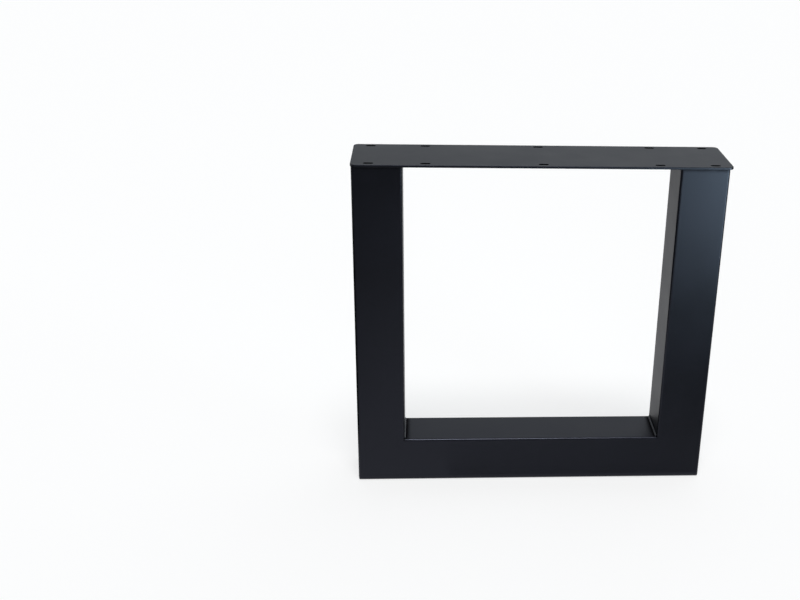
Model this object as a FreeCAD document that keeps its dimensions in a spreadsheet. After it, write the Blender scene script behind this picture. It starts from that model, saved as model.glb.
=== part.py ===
import FreeCAD, Part
import math
import os
import Sketcher
from FreeCAD import Rotation, Vector

# A U shaped table leg: two posts and a floor rail of square steel tube, mitred and welded at the floor,
# with a slotted plate across the posts that screws to the underside of a table top.
# The origin is on the floor under the middle of the leg. X runs along the plate, Y to the back, Z up.
# All sizes are in millimetres.

SIZES = (
    ("frame_width", 750, "over the outer faces of the posts, which is also the plate's length"),
    ("frame_height", 720, "from the floor to the top of the plate"),
    ("tube_side", 100, "outside of the square tube"),
    ("tube_wall", 3, "thickness of the tube's wall"),
    ("tube_corner", 5, "outside radius of the tube's long edges"),
    ("ground_corner", 7, "radius ground on the outer corner of each mitre after welding"),
    ("plate_thickness", 5, "thickness of the plate"),
    ("plate_ledge", 25, "how far the plate stands out in front of the posts and behind them"),
    ("plate_corner", 10, "radius of the plate's four corners"),
    ("plate_edge", 1, "rounding of the plate's cut edges"),
    ("slot_length", 20, "screw slot, end to end"),
    ("slot_width", 9, "screw slot, side to side"),
    ("slot_inset", 12.5, "from the plate's long edge to the middle of a row of slots"),
    ("slot_end_inset", 35, "from the plate's end to the middle of the outer slot"),
    ("slot_pitch", 110, "from the outer slot to the inner slot of the same end"),
    ("corner_weld_leg", 3, "width of the bead in the corner of post and rail, on each face"),
    ("plate_weld_leg", 4, "width of the bead under the plate, on each face"),
    ("weld_crown", 0.5, "height of a bead's round face above the straight line between its toes"),
    ("weld_end", 1.2, "rounding of the ends of a bead"),
)
ORIGIN = (-1, 1)
X_AXIS = -1
START, END, CENTRE = 1, 2, 3
UPWARDS = Vector(0, 0, 1)

document = FreeCAD.newDocument("u_table_leg")
sheet = document.addObject("Spreadsheet::Sheet", "sizes")
for row, (alias, size, meaning) in enumerate(SIZES, start=1):
    sheet.set(f"A{row}", meaning)
    sheet.set(f"B{row}", str(size))
    sheet.setAlias(f"B{row}", alias)
document.recompute()


class Size:
    """A length as a number, to draw with, and as an expression on the sheet, to bind with."""

    def __init__(self, value, text):
        self.value = value
        self.text = text

    def __add__(self, other):
        return Size(self.value + other.value, f"({self.text} + {other.text})")

    def __sub__(self, other):
        return Size(self.value - other.value, f"({self.text} - {other.text})")

    def __neg__(self):
        return Size(-self.value, f"(-1 * {self.text})")

    def __mul__(self, number):
        return Size(self.value * number, f"({self.text} * {number})")

    def __truediv__(self, number):
        return Size(self.value / number, f"({self.text} / {number})")


def sheet_size(alias):
    return Size(float(sheet.get(alias)), f"sizes.{alias}")


NO_OFFSET = Size(0, "0")
frame_width = sheet_size("frame_width")
frame_height = sheet_size("frame_height")
tube_side = sheet_size("tube_side")
tube_wall = sheet_size("tube_wall")
tube_corner = sheet_size("tube_corner")
ground_corner = sheet_size("ground_corner")
plate_thickness = sheet_size("plate_thickness")
plate_ledge = sheet_size("plate_ledge")
plate_corner = sheet_size("plate_corner")
plate_edge = sheet_size("plate_edge")
slot_length = sheet_size("slot_length")
slot_width = sheet_size("slot_width")
slot_inset = sheet_size("slot_inset")
slot_end_inset = sheet_size("slot_end_inset")
slot_pitch = sheet_size("slot_pitch")
corner_weld_leg = sheet_size("corner_weld_leg")
plate_weld_leg = sheet_size("plate_weld_leg")
weld_crown = sheet_size("weld_crown")
weld_end = sheet_size("weld_end")

tube_half = tube_side / 2
tube_flat_half = tube_half - tube_corner
bore_side = tube_side - tube_wall * 2
plate_depth = tube_side + plate_ledge * 2
post_height = frame_height - plate_thickness
post_offset = (frame_width - tube_side) / 2


# Bodies, sketches and features


def new_body(label):
    body = document.addObject("PartDesign::Body", label)
    body.Label = label
    return body


def origin_plane(body, role):
    return next(feature for feature in body.Origin.OriginFeatures if feature.Role == role)


def new_sketch(body, name, role):
    sketch = body.newObject("Sketcher::SketchObject", name)
    sketch.AttachmentSupport = [(origin_plane(body, role), "")]
    sketch.MapMode = "FlatFace"
    return sketch


def add_feature(body, kind, name, sketch, **settings):
    feature = body.newObject(f"PartDesign::{kind}", name)
    feature.Profile = sketch
    for setting, value in settings.items():
        setattr(feature, setting, value)
    return feature


def add_pad(body, name, sketch, length, side_type="One side"):
    feature = add_feature(body, "Pad", name, sketch, SideType=side_type)
    feature.setExpression("Length", length.text)
    return feature


def cut_through(body, name, sketch):
    return add_feature(body, "Pocket", name, sketch, SideType="Symmetric", Type="ThroughAll")


def add_mirror(body, name, originals, role):
    mirror = body.newObject("PartDesign::Mirrored", name)
    mirror.Originals = originals
    mirror.MirrorPlane = (origin_plane(body, role), [""])
    body.Tip = mirror
    return mirror


def add_fillet(body, name, radius, wanted):
    """Round the edges of the body's last feature that wanted() picks."""
    document.recompute()
    base = body.Tip
    picked = [f"Edge{i}" for i, edge in enumerate(base.Shape.Edges, start=1) if wanted(edge)]
    fillet = body.newObject("PartDesign::Fillet", name)
    fillet.Base = (base, picked)
    fillet.setExpression("Radius", radius.text)
    return fillet


def lies_flat(edge):
    return edge.BoundBox.ZLength < plate_edge.value


def is_round(edge):
    return isinstance(edge.Curve, Part.Circle)


def is_round_outside(edge):
    """True for the round edges on the side of a post that faces away from the middle of the leg."""
    return is_round(edge) and edge.BoundBox.XMax < 0


def place(body, x=None, z=None, half_turn=False):
    """Put a body along the leg and above the floor, turned round if it belongs to the right end."""
    if half_turn:
        body.Placement.Rotation = Rotation(UPWARDS, 180)
    if x:
        body.setExpression("Placement.Base.x", x.text)
    if z:
        body.setExpression("Placement.Base.z", z.text)


# Sketch outlines


def relate(sketch, kind, *where):
    sketch.addConstraint(Sketcher.Constraint(kind, *where))


def hold(sketch, kind, where, size):
    """Tie a radius, or the distance between two points, to a size on the sheet."""
    constraint = sketch.addConstraint(Sketcher.Constraint(kind, *where, size.value))
    sketch.setExpression(f"Constraints[{constraint}]", size.text)


def draw_line(sketch, start, end):
    return sketch.addGeometry(Part.LineSegment(Vector(*start), Vector(*end)))


def draw_arc(sketch, centre, radius, first_degrees, last_degrees):
    circle = Part.Circle(Vector(*centre), UPWARDS, radius)
    turn = (math.radians(first_degrees), math.radians(last_degrees))
    return sketch.addGeometry(Part.ArcOfCircle(circle, *turn))


def join_smoothly(sketch, pieces, closed=True):
    """Join lines and arcs end to end, each tangent to the next."""
    following = pieces[1:] + pieces[:1] if closed else pieces[1:]
    for piece, next_piece in zip(pieces, following):
        relate(sketch, "Tangent", piece, END, next_piece, START)


def draw_rounded_rectangle(sketch, width, depth, radius):
    """A rectangle with round corners about the sketch's origin."""
    x, y, r = width.value / 2, depth.value / 2, radius.value
    front = draw_line(sketch, (r - x, -y), (x - r, -y))
    front_right = draw_arc(sketch, (x - r, r - y), r, -90, 0)
    right = draw_line(sketch, (x, r - y), (x, y - r))
    back_right = draw_arc(sketch, (x - r, y - r), r, 0, 90)
    back = draw_line(sketch, (x - r, y), (r - x, y))
    back_left = draw_arc(sketch, (r - x, y - r), r, 90, 180)
    left = draw_line(sketch, (-x, y - r), (-x, r - y))
    front_left = draw_arc(sketch, (r - x, r - y), r, 180, 270)
    corners = [front_right, back_right, back_left, front_left]
    join_smoothly(sketch, [front, front_right, right, back_right, back, back_left, left, front_left])
    for line in (front, back):
        relate(sketch, "Horizontal", line)
    for line in (right, left):
        relate(sketch, "Vertical", line)
    for corner in corners[1:]:
        relate(sketch, "Equal", front_right, corner)
    relate(sketch, "Symmetric", front_right, CENTRE, back_left, CENTRE, *ORIGIN)
    hold(sketch, "Radius", (front_right,), radius)
    hold(sketch, "DistanceX", (left, START, right, START), width)
    hold(sketch, "DistanceY", (front, START, back, START), depth)


def draw_slot(sketch, middle, row):
    """A screw slot along X. middle and row are where its centre lies from the sketch's origin."""
    reach = (slot_length - slot_width) / 2
    radius = slot_width / 2
    first = middle - reach
    x0, x1, y, r = first.value, first.value + 2 * reach.value, row.value, radius.value
    front = draw_line(sketch, (x0, y - r), (x1, y - r))
    right = draw_arc(sketch, (x1, y), r, -90, 90)
    back = draw_line(sketch, (x1, y + r), (x0, y + r))
    left = draw_arc(sketch, (x0, y), r, 90, 270)
    join_smoothly(sketch, [front, right, back, left])
    relate(sketch, "Horizontal", front)
    relate(sketch, "Equal", left, right)
    hold(sketch, "Radius", (left,), radius)
    hold(sketch, "DistanceX", (left, CENTRE, right, CENTRE), reach * 2)
    hold(sketch, "DistanceX", (*ORIGIN, left, CENTRE), first)
    hold(sketch, "DistanceY", (*ORIGIN, left, CENTRE), row)


def draw_mitre_waste(sketch, corner_x, corner_z, on_rail):
    """The half of a tube's end that a 45 degree mitre takes off, from the leg's outer bottom corner."""
    x, z, side = corner_x.value, corner_z.value, tube_side.value
    square_corner = (x, z + side) if on_rail else (x + side, z)
    first = draw_line(sketch, (x, z), square_corner)
    second = draw_line(sketch, square_corner, (x + side, z + side))
    mitre = draw_line(sketch, (x + side, z + side), (x, z))
    sides = [first, second, mitre]
    for piece, next_piece in zip(sides, sides[1:] + sides[:1]):
        relate(sketch, "Coincident", piece, END, next_piece, START)
    relate(sketch, "Vertical" if on_rail else "Horizontal", first)
    relate(sketch, "Horizontal" if on_rail else "Vertical", second)
    hold(sketch, "DistanceX", (mitre, END, mitre, START), tube_side)
    hold(sketch, "DistanceY", (mitre, END, mitre, START), tube_side)
    hold(sketch, "DistanceX", (*ORIGIN, first, START), corner_x)
    hold(sketch, "DistanceY", (*ORIGIN, first, START), corner_z)


def draw_ground_corner(sketch, corner_x, corner_z):
    """The sharp tip outside the arc that is ground on the leg's outer bottom corner."""
    x, z, r = corner_x.value, corner_z.value, ground_corner.value
    rise = draw_line(sketch, (x, z), (x, z + r))
    arc = draw_arc(sketch, (x + r, z + r), r, 180, 270)
    run = draw_line(sketch, (x + r, z), (x, z))
    relate(sketch, "Tangent", rise, END, arc, START)
    relate(sketch, "Tangent", arc, END, run, START)
    relate(sketch, "Coincident", run, END, rise, START)
    relate(sketch, "Vertical", rise)
    relate(sketch, "Horizontal", run)
    hold(sketch, "Radius", (arc,), ground_corner)
    hold(sketch, "DistanceX", (*ORIGIN, rise, START), corner_x)
    hold(sketch, "DistanceY", (*ORIGIN, rise, START), corner_z)


def draw_bead(sketch, corner, leg, sign):
    """A fillet weld's section: two equal legs from an inside corner and a slightly round face.

    corner is where the corner lies along the sketch's first axis. The legs point along the axes for a
    sign of 1, and against them for -1.
    """
    x, reach, crown = corner.value, leg.value, weld_crown.value
    radius = Size(
        (reach**2 / 2 + crown**2) / (2 * crown),
        f"({leg.text}^2 / 2 + {weld_crown.text}^2) / (2 * {weld_crown.text})",
    )
    centre = sign * (reach / 2 - (radius.value - crown) / math.sqrt(2))
    spread = math.degrees(math.asin(reach / math.sqrt(2) / radius.value))
    facing = 45 if sign > 0 else 225
    along = draw_line(sketch, (x, 0), (x + sign * reach, 0))
    face = draw_arc(sketch, (x + centre, centre), radius.value, facing - spread, facing + spread)
    across = draw_line(sketch, (x, sign * reach), (x, 0))
    relate(sketch, "Coincident", along, END, face, START)
    relate(sketch, "Coincident", face, END, across, START)
    relate(sketch, "Coincident", across, END, along, START)
    relate(sketch, "Horizontal", along)
    relate(sketch, "Vertical", across)
    relate(sketch, "PointOnObject", along, START, X_AXIS)
    hold(sketch, "DistanceX", (along, START, along, END), leg * sign)
    hold(sketch, "DistanceY", (across, END, across, START), leg * sign)
    hold(sketch, "DistanceX", (*ORIGIN, along, START), corner)
    hold(sketch, "Radius", (face,), radius)


def draw_weld_path(sketch):
    """The post's outline under the plate along its front, inner and back faces."""
    x, flat, r = tube_half.value, tube_flat_half.value, tube_corner.value
    front = draw_line(sketch, (-flat, -x), (flat, -x))
    front_corner = draw_arc(sketch, (flat, -flat), r, -90, 0)
    inner = draw_line(sketch, (x, -flat), (x, flat))
    back_corner = draw_arc(sketch, (flat, flat), r, 0, 90)
    back = draw_line(sketch, (flat, x), (-flat, x))
    join_smoothly(sketch, [front, front_corner, inner, back_corner, back], closed=False)
    for line in (front, back):
        relate(sketch, "Horizontal", line)
    relate(sketch, "Vertical", inner)
    relate(sketch, "Equal", front_corner, back_corner)
    relate(sketch, "Symmetric", front, START, back, END, X_AXIS)
    hold(sketch, "Radius", (front_corner,), tube_corner)
    hold(sketch, "DistanceX", (front, START, *ORIGIN), tube_flat_half)
    hold(sketch, "DistanceY", (front, START, *ORIGIN), tube_half)
    hold(sketch, "DistanceX", (*ORIGIN, inner, START), tube_half)


# The pieces


def draw_tube_section(sketch):
    draw_rounded_rectangle(sketch, tube_side, tube_side, tube_corner)
    draw_rounded_rectangle(sketch, bore_side, bore_side, tube_corner - tube_wall)


def make_plate():
    body = new_body("top_plate")
    outline = new_sketch(body, "plate_outline", "XY_Plane")
    draw_rounded_rectangle(outline, frame_width, plate_depth, plate_corner)
    add_pad(body, "plate_sheet", outline, plate_thickness)
    add_fillet(body, "plate_edges", plate_edge, lies_flat)
    slots = new_sketch(body, "front_slots", "XY_Plane")
    front_row = slot_inset - plate_depth / 2
    outer_slot = frame_width / 2 - slot_end_inset
    inner_slot = outer_slot - slot_pitch
    for middle in (-outer_slot, -inner_slot, NO_OFFSET, inner_slot, outer_slot):
        draw_slot(slots, middle, front_row)
    front_slots = cut_through(body, "front_slot_row", slots)
    add_mirror(body, "back_slot_row", [front_slots], "XZ_Plane")
    place(body, z=post_height)
    return body


def make_post(label, right_end):
    body = new_body(label)
    section = new_sketch(body, f"{label}_section", "XY_Plane")
    draw_tube_section(section)
    add_pad(body, f"{label}_tube", section, post_height)
    mitre = new_sketch(body, f"{label}_mitre_waste", "XZ_Plane")
    draw_mitre_waste(mitre, -tube_half, NO_OFFSET, on_rail=False)
    cut_through(body, f"{label}_mitre", mitre)
    corner = new_sketch(body, f"{label}_corner_waste", "XZ_Plane")
    draw_ground_corner(corner, -tube_half, NO_OFFSET)
    cut_through(body, f"{label}_ground_corner", corner)
    place(body, x=post_offset if right_end else -post_offset, half_turn=right_end)
    return body


def make_rail():
    body = new_body("bottom_rail")
    section = new_sketch(body, "rail_section", "YZ_Plane")
    draw_tube_section(section)
    add_pad(body, "rail_tube", section, frame_width, side_type="Symmetric")
    end_x = frame_width / -2
    mitre = new_sketch(body, "rail_mitre_waste", "XZ_Plane")
    draw_mitre_waste(mitre, end_x, -tube_half, on_rail=True)
    left_mitre = cut_through(body, "rail_left_mitre", mitre)
    corner = new_sketch(body, "rail_corner_waste", "XZ_Plane")
    draw_ground_corner(corner, end_x, -tube_half)
    left_corner = cut_through(body, "rail_left_ground_corner", corner)
    add_mirror(body, "rail_right_end", [left_mitre, left_corner], "YZ_Plane")
    place(body, z=tube_half)
    return body


def make_corner_weld(label, right_end):
    body = new_body(label)
    section = new_sketch(body, f"{label}_section", "XZ_Plane")
    draw_bead(section, NO_OFFSET, corner_weld_leg, sign=1)
    add_pad(body, f"{label}_bead", section, tube_flat_half * 2, side_type="Symmetric")
    add_fillet(body, f"{label}_ends", weld_end, is_round)
    inner_face = frame_width / 2 - tube_side
    place(body, x=inner_face if right_end else -inner_face, z=tube_side, half_turn=right_end)
    return body


def make_plate_weld(label, right_end):
    body = new_body(label)
    path = new_sketch(body, f"{label}_path", "XY_Plane")
    draw_weld_path(path)
    section = new_sketch(body, f"{label}_section", "YZ_Plane")
    section.setExpression("AttachmentOffset.Base.z", (-tube_flat_half).text)
    draw_bead(section, -tube_half, plate_weld_leg, sign=-1)
    add_feature(body, "AdditivePipe", f"{label}_bead", section, Spine=(path, []))
    add_fillet(body, f"{label}_ends", weld_end, is_round_outside)
    place(body, x=post_offset if right_end else -post_offset, z=post_height, half_turn=right_end)
    return body


pieces = [make_plate(), make_rail()]
for side, right_end in (("left", False), ("right", True)):
    pieces.append(make_post(f"{side}_post", right_end))
    pieces.append(make_corner_weld(f"{side}_corner_weld", right_end))
    pieces.append(make_plate_weld(f"{side}_plate_weld", right_end))
document.recompute()

for item in document.Objects:
    if {"Invalid", "Error"} & set(item.State):
        raise RuntimeError(f"{item.Name} did not build: {item.State}")
    if item.TypeId == "PartDesign::Pocket" and item.Shape.Volume >= item.BaseFeature.Shape.Volume:
        raise RuntimeError(f"{item.Name} took nothing off")
for piece in pieces:
    if piece.Shape.isNull() or not piece.Shape.isValid() or len(piece.Shape.Solids) != 1:
        raise RuntimeError(f"{piece.Label} is not one sound solid")

os.makedirs("parts", exist_ok=True)
for piece in pieces:
    piece.Shape.exportStep(f"parts/{piece.Label}.step")
    print(piece.Label, round(piece.Shape.Volume / 1000, 2), "cm3")
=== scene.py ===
import math

import bmesh
import bpy
from mathutils import Matrix, Vector

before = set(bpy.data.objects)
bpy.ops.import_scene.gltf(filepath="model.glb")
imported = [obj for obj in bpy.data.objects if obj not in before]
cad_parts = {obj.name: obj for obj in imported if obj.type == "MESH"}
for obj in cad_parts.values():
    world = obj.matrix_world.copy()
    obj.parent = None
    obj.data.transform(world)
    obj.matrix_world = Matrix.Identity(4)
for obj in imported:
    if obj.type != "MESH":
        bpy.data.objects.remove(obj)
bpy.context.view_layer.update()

MM = 0.001
SPRAY_PATCH = 90 * MM
PEEL_WAVE = 5 * MM
RIPPLE_PITCH = 3 * MM
NOISE_LOW, NOISE_HIGH = 0.3, 0.7
FLAT_FACE_SHARE, ROUND_EDGE_SHARE = 0.99, 0.85
FLOOR_REACH, CORNER_REACH = 0.1 * MM, 15 * MM
NEAR_FLOOR, ABOVE_FLOOR = 20 * MM, 60 * MM
FLAG_LIFT = 10 * MM


def linear(hex_colour):
    """An sRGB hex colour as linear red, green and blue with full alpha."""
    parts = [int(hex_colour[i:i + 2], 16) / 255 for i in (1, 3, 5)]
    return [p / 12.92 if p <= 0.04045 else ((p + 0.055) / 1.055) ** 2.4 for p in parts] + [1.0]


def add_node(tree, kind, settings=(), inputs=()):
    """A node with its settings; an input takes a plain value or another node's output."""
    node = tree.nodes.new(kind)
    for name, value in dict(settings).items():
        setattr(node, name, value)
    for socket, value in dict(inputs).items():
        if isinstance(value, bpy.types.NodeSocket):
            tree.links.new(value, node.inputs[socket])
        else:
            node.inputs[socket].default_value = value
    return node


def new_material(name):
    """A material and its empty node tree."""
    material = bpy.data.materials.new(name)
    material.use_nodes = True
    material.node_tree.nodes.clear()
    return material, material.node_tree


def black_powder_coat(name, on_weld):
    """Polyester powder, sprayed on and baked: a deep cool black with a satin sheen.

    The film pulls thin over every rounded edge, which is a little smoother and catches a fine light line.
    On a weld it lies over the ripples of the bead.
    """
    material, tree = new_material(name)
    place = add_node(tree, "ShaderNodeTexCoord").outputs["Object"]
    along = add_node(tree, "ShaderNodeSeparateXYZ", {}, {"Vector": place}).outputs
    # Passes of the spray gun leave the film thicker and thinner over about a hand's width.
    film = add_node(tree, "ShaderNodeTexNoise", {}, {
        "Vector": place, "Scale": 1 / SPRAY_PATCH, "Detail": 2.0, "Roughness": 0.5}).outputs["Fac"]
    tone = add_node(tree, "ShaderNodeValToRGB", {}, {"Fac": film})
    thick, thin = tone.color_ramp.elements
    thick.position, thick.color = NOISE_LOW, linear("#07080b")
    thin.position, thin.color = NOISE_HIGH, linear("#0b0c11")
    satin = add_node(tree, "ShaderNodeMapRange", {}, {
        "Value": film, "From Min": NOISE_LOW, "From Max": NOISE_HIGH, "To Min": 0.45, "To Max": 0.49})
    # A flat face looks along one axis and a rounded edge between two, so its largest share is smaller.
    facing = add_node(tree, "ShaderNodeVectorMath", {"operation": "ABSOLUTE"}, {
        0: add_node(tree, "ShaderNodeNewGeometry").outputs["Normal"]})
    share = add_node(tree, "ShaderNodeSeparateXYZ", {}, {"Vector": facing.outputs["Vector"]}).outputs
    wider = add_node(tree, "ShaderNodeMath", {"operation": "MAXIMUM"}, {0: share["X"], 1: share["Y"]})
    widest = add_node(tree, "ShaderNodeMath", {"operation": "MAXIMUM"}, {
        0: wider.outputs["Value"], 1: share["Z"]})
    roughness = add_node(tree, "ShaderNodeMapRange", {}, {
        "Value": widest.outputs["Value"], "From Min": FLAT_FACE_SHARE, "From Max": ROUND_EDGE_SHARE,
        "To Min": satin.outputs["Result"], "To Max": 0.25})
    looks = {"Base Color": tone.outputs["Color"], "Roughness": roughness.outputs["Result"]}
    if on_weld:
        # The torch leaves ripples 3 mm apart along each bead, which runs along X or along Y.
        runs_along_y = add_node(tree, "ShaderNodeMath", {"operation": "GREATER_THAN"}, {
            0: share["X"], 1: share["Y"]})
        run = add_node(tree, "ShaderNodeMix", {}, {
            "Factor": runs_along_y.outputs["Value"], "A": along["X"], "B": along["Y"]})
        phase = add_node(tree, "ShaderNodeMath", {"operation": "MULTIPLY"}, {
            0: run.outputs["Result"], 1: math.tau / RIPPLE_PITCH})
        ripples = add_node(tree, "ShaderNodeMath", {"operation": "SINE"}, {0: phase.outputs["Value"]})
        height, depth = ripples.outputs["Value"], 0.06 * MM
    else:
        # Orange peel has waves about 2 mm long, drawn at 5 mm so that they show at all.
        peel = add_node(tree, "ShaderNodeTexNoise", {}, {
            "Vector": place, "Scale": 1 / PEEL_WAVE, "Detail": 1.5, "Roughness": 0.45})
        height, depth = peel.outputs["Fac"], 0.035 * MM
        # Painted shade: where ambient occlusion finds slots and inside corners, the colour goes to near
        # black, the sheen is cut and the film turns rougher; near the floor the reach shrinks, so the
        # floor paints none.
        reach = add_node(tree, "ShaderNodeMapRange", {}, {
            "Value": along["Z"], "From Min": NEAR_FLOOR, "From Max": ABOVE_FLOOR,
            "To Min": FLOOR_REACH, "To Max": CORNER_REACH})
        space = add_node(tree, "ShaderNodeAmbientOcclusion", {"samples": 8}, {
            "Distance": reach.outputs["Result"]})
        unshaded = add_node(tree, "ShaderNodeMapRange", {}, {
            "Value": space.outputs["AO"], "From Min": 0.70, "From Max": 0.95}).outputs["Result"]
        # Painted shade: the base colour darkens to near black in slots and inside corners.
        deep = add_node(tree, "ShaderNodeMix", {"data_type": "RGBA"}, {
            "Factor": unshaded, "A": linear("#020203"), "B": looks["Base Color"]})
        dull_in_shade = add_node(tree, "ShaderNodeMapRange", {}, {
            "Value": unshaded, "To Min": 0.8, "To Max": looks["Roughness"]})
        # Painted shade: the specular level falls to almost nothing in slots and inside corners.
        sheen = add_node(tree, "ShaderNodeMapRange", {}, {
            "Value": unshaded, "To Min": 0.02, "To Max": 0.5})
        looks = {"Base Color": deep.outputs["Result"], "Roughness": dull_in_shade.outputs["Result"],
                 "Specular IOR Level": sheen.outputs["Result"]}
    relief = add_node(tree, "ShaderNodeBump", {}, {"Height": height, "Distance": depth})
    shader = add_node(tree, "ShaderNodeBsdfPrincipled", {}, {
        **looks, "IOR": 1.39, "Specular Tint": linear("#dee3ff"), "Normal": relief.outputs["Normal"]})
    add_node(tree, "ShaderNodeOutputMaterial", {}, {"Surface": shader.outputs["BSDF"]})
    return material


def white_paper():
    """Seamless paper: white to the eye and in reflections, with the leg's soft shadow on it."""
    glow_when_seen = 0.63
    material, tree = new_material("white_paper")
    path = add_node(tree, "ShaderNodeLightPath").outputs
    seen = add_node(tree, "ShaderNodeMath", {"operation": "ADD"}, {
        0: path["Is Camera Ray"], 1: path["Is Glossy Ray"]})
    seen = add_node(tree, "ShaderNodeMath", {"operation": "ADD", "use_clamp": True}, {
        0: seen.outputs["Value"], 1: path["Is Transmission Ray"]})
    lift = add_node(tree, "ShaderNodeMath", {"operation": "MULTIPLY"}, {
        0: seen.outputs["Value"], 1: glow_when_seen})
    paper = add_node(tree, "ShaderNodeBsdfDiffuse", {}, {"Color": linear("#a8a8a8")})
    glow = add_node(tree, "ShaderNodeEmission", {}, {
        "Color": linear("#ffffff"), "Strength": lift.outputs["Value"]})
    both = add_node(tree, "ShaderNodeAddShader", {}, {
        0: paper.outputs["BSDF"], 1: glow.outputs["Emission"]})
    add_node(tree, "ShaderNodeOutputMaterial", {}, {"Surface": both.outputs["Shader"]})
    return material


def black_cloth():
    """Matt studio cloth, which gives almost no light back."""
    material, tree = new_material("black_cloth")
    cloth = add_node(tree, "ShaderNodeBsdfDiffuse", {}, {"Color": linear("#141414")})
    add_node(tree, "ShaderNodeOutputMaterial", {}, {"Surface": cloth.outputs["BSDF"]})
    return material


def graded_cloth():
    """Cloth seen only in reflections, white left of the leg's middle to pale grey at its right end."""
    material, tree = new_material("graded_cloth")
    place = add_node(tree, "ShaderNodeTexCoord").outputs["Object"]
    along = add_node(tree, "ShaderNodeSeparateXYZ", {}, {"Vector": place}).outputs
    # Painted reflection: the cloth's grey end darkens what the rail's front mirrors on its right.
    painted_reflection_grade = add_node(tree, "ShaderNodeMapRange", {}, {
        "Value": along["X"], "From Min": -180 * MM, "From Max": 350 * MM,
        "To Min": 0.98, "To Max": 0.68})
    cloth = add_node(tree, "ShaderNodeBsdfDiffuse", {}, {"Color": painted_reflection_grade.outputs["Result"]})
    add_node(tree, "ShaderNodeOutputMaterial", {}, {"Surface": cloth.outputs["BSDF"]})
    return material


def add_stage_sheet(name, middle, width, depth, material):
    """A flat sheet of the studio, lying level."""
    bm = bmesh.new()
    bmesh.ops.create_grid(bm, x_segments=1, y_segments=1, size=0.5)
    bmesh.ops.scale(bm, vec=(width, depth, 1), verts=bm.verts)
    bmesh.ops.translate(bm, vec=middle, verts=bm.verts)
    mesh = bpy.data.meshes.new(name)
    bm.to_mesh(mesh)
    bm.free()
    mesh.materials.append(material)
    sheet = bpy.data.objects.new(name, mesh)
    bpy.context.scene.collection.objects.link(sheet)
    return sheet


def add_flag(name, x, y, width, depth, cloth):
    """A cloth on the floor that only reflections see: it shades what the leg's satin faces mirror."""
    flag = add_stage_sheet(name, (x, y, FLAG_LIFT), width, depth, cloth)
    flag.visible_camera = False
    flag.visible_diffuse = False
    flag.visible_shadow = False


def light_the_studio():
    """Walls that are palest behind the leg and white at their foot, and a wide soft light from above.

    A direction's X, Y and Z say how far it points to the right, behind the leg and up.
    """
    world = bpy.data.worlds.new("studio_walls")
    world.use_nodes = True
    tree = world.node_tree
    tree.nodes.clear()
    way = add_node(tree, "ShaderNodeSeparateXYZ", {}, {
        "Vector": add_node(tree, "ShaderNodeTexCoord").outputs["Generated"]}).outputs
    back = add_node(tree, "ShaderNodeMapRange", {"interpolation_type": "SMOOTHSTEP"}, {
        "Value": way["Y"], "From Min": -0.3, "From Max": 0.8, "To Min": 0.3, "To Max": 0.88})
    left = add_node(tree, "ShaderNodeMapRange", {"interpolation_type": "SMOOTHSTEP"}, {
        "Value": way["X"], "From Min": -0.5, "From Max": 0.2, "To Min": 0.5, "To Max": 1.0})
    upper = add_node(tree, "ShaderNodeMath", {"operation": "MULTIPLY"}, {
        0: back.outputs["Result"], 1: left.outputs["Result"]})
    foot = add_node(tree, "ShaderNodeMapRange", {"interpolation_type": "SMOOTHSTEP"}, {
        "Value": way["Z"], "From Min": 0.14, "From Max": 0.06})
    level = add_node(tree, "ShaderNodeMath", {"operation": "MAXIMUM"}, {
        0: upper.outputs["Value"], 1: foot.outputs["Result"]})
    paint = add_node(tree, "ShaderNodeMix", {"data_type": "RGBA"}, {
        "Factor": foot.outputs["Result"], "A": linear("#f5fbff"), "B": linear("#ffffff")})
    walls = add_node(tree, "ShaderNodeBackground", {}, {
        "Color": paint.outputs["Result"], "Strength": level.outputs["Value"]})
    add_node(tree, "ShaderNodeOutputWorld", {}, {"Surface": walls.outputs["Background"]})
    bpy.context.scene.world = world

    scrim = bpy.data.lights.new("overhead_scrim", "SUN")
    scrim.energy = 1.7
    scrim.angle = math.radians(22)
    overhead = bpy.data.objects.new("overhead_scrim", scrim)
    overhead.rotation_euler = (math.radians(18), 0, 0)
    bpy.context.scene.collection.objects.link(overhead)


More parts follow.
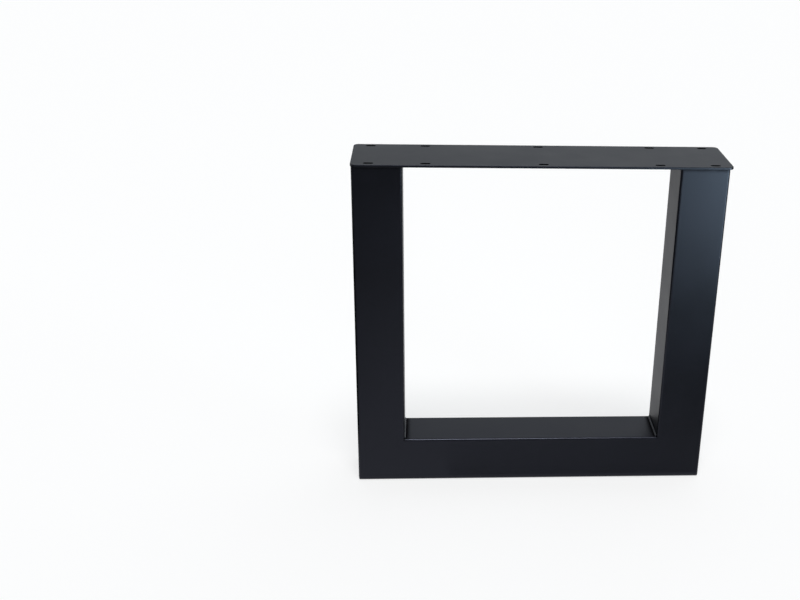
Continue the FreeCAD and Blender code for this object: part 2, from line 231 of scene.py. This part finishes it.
def add_softbox(name, place, aim, side, watts, spread, colour):
    """A square lamp that points at one place and spreads its light by some degrees."""
    box = bpy.data.lights.new(name, "AREA")
    box.size = side
    box.energy = watts
    box.spread = math.radians(spread)
    box.color = linear(colour)[:3]
    lamp = bpy.data.objects.new(name, box)
    lamp.location = place
    lamp.rotation_euler = (Vector(aim) - Vector(place)).to_track_quat("-Z", "Y").to_euler()
    bpy.context.scene.collection.objects.link(lamp)


def add_camera():
    """The photograph's viewpoint: in front, a little left of the middle, looking down on the plate."""
    view = bpy.data.cameras.new("camera")
    view.sensor_fit = "HORIZONTAL"
    view.sensor_width = 36
    view.lens = 51.038
    view.shift_x = -0.1298
    view.dof.use_dof = False
    camera = bpy.data.objects.new("camera", view)
    place = Matrix.Translation((-0.2310, -2.1845, 1.3443))
    turn = Matrix.Rotation(-0.0756, 4, "Z")
    tip = Matrix.Rotation(math.pi / 2 - 0.4046, 4, "X")
    lean = Matrix.Rotation(0.0292, 4, "Z")
    camera.matrix_world = place @ turn @ tip @ lean
    bpy.context.scene.collection.objects.link(camera)
    bpy.context.scene.camera = camera


coat = black_powder_coat("black_powder_coat", on_weld=False)
weld_coat = black_powder_coat("black_powder_coat_on_weld", on_weld=True)
for name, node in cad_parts.items():
    for material_slot in node.material_slots:
        material_slot.material = weld_coat if name.endswith("_weld") else coat

add_stage_sheet("paper_floor", middle=(0, 0, 0), width=40, depth=40, material=white_paper())
black = black_cloth()
add_flag("front_flag", x=0.0, y=-4.15, width=8.0, depth=6.0, cloth=black)
add_flag("right_flag", x=0.82, y=-0.73, width=1.0, depth=0.84, cloth=black)
add_flag("near_flag", x=0.62, y=-0.18, width=1.6, depth=0.26, cloth=graded_cloth())
add_flag("left_flag", x=-1.35, y=0.125, width=1.7, depth=2.55, cloth=black)
add_flag("side_flag", x=2.27, y=0.075, width=1.7, depth=2.45, cloth=black)
add_flag("back_flag", x=-0.3, y=4.8, width=3.0, depth=4.0, cloth=black)
light_the_studio()
add_softbox("side_softbox", place=(0.82, -0.72, 0.58), aim=(0.36, -0.05, 0.66),
            side=0.4, watts=2.2, spread=70, colour="#e2fbff")
add_camera()
bpy.context.scene.view_settings.view_transform = "Standard"
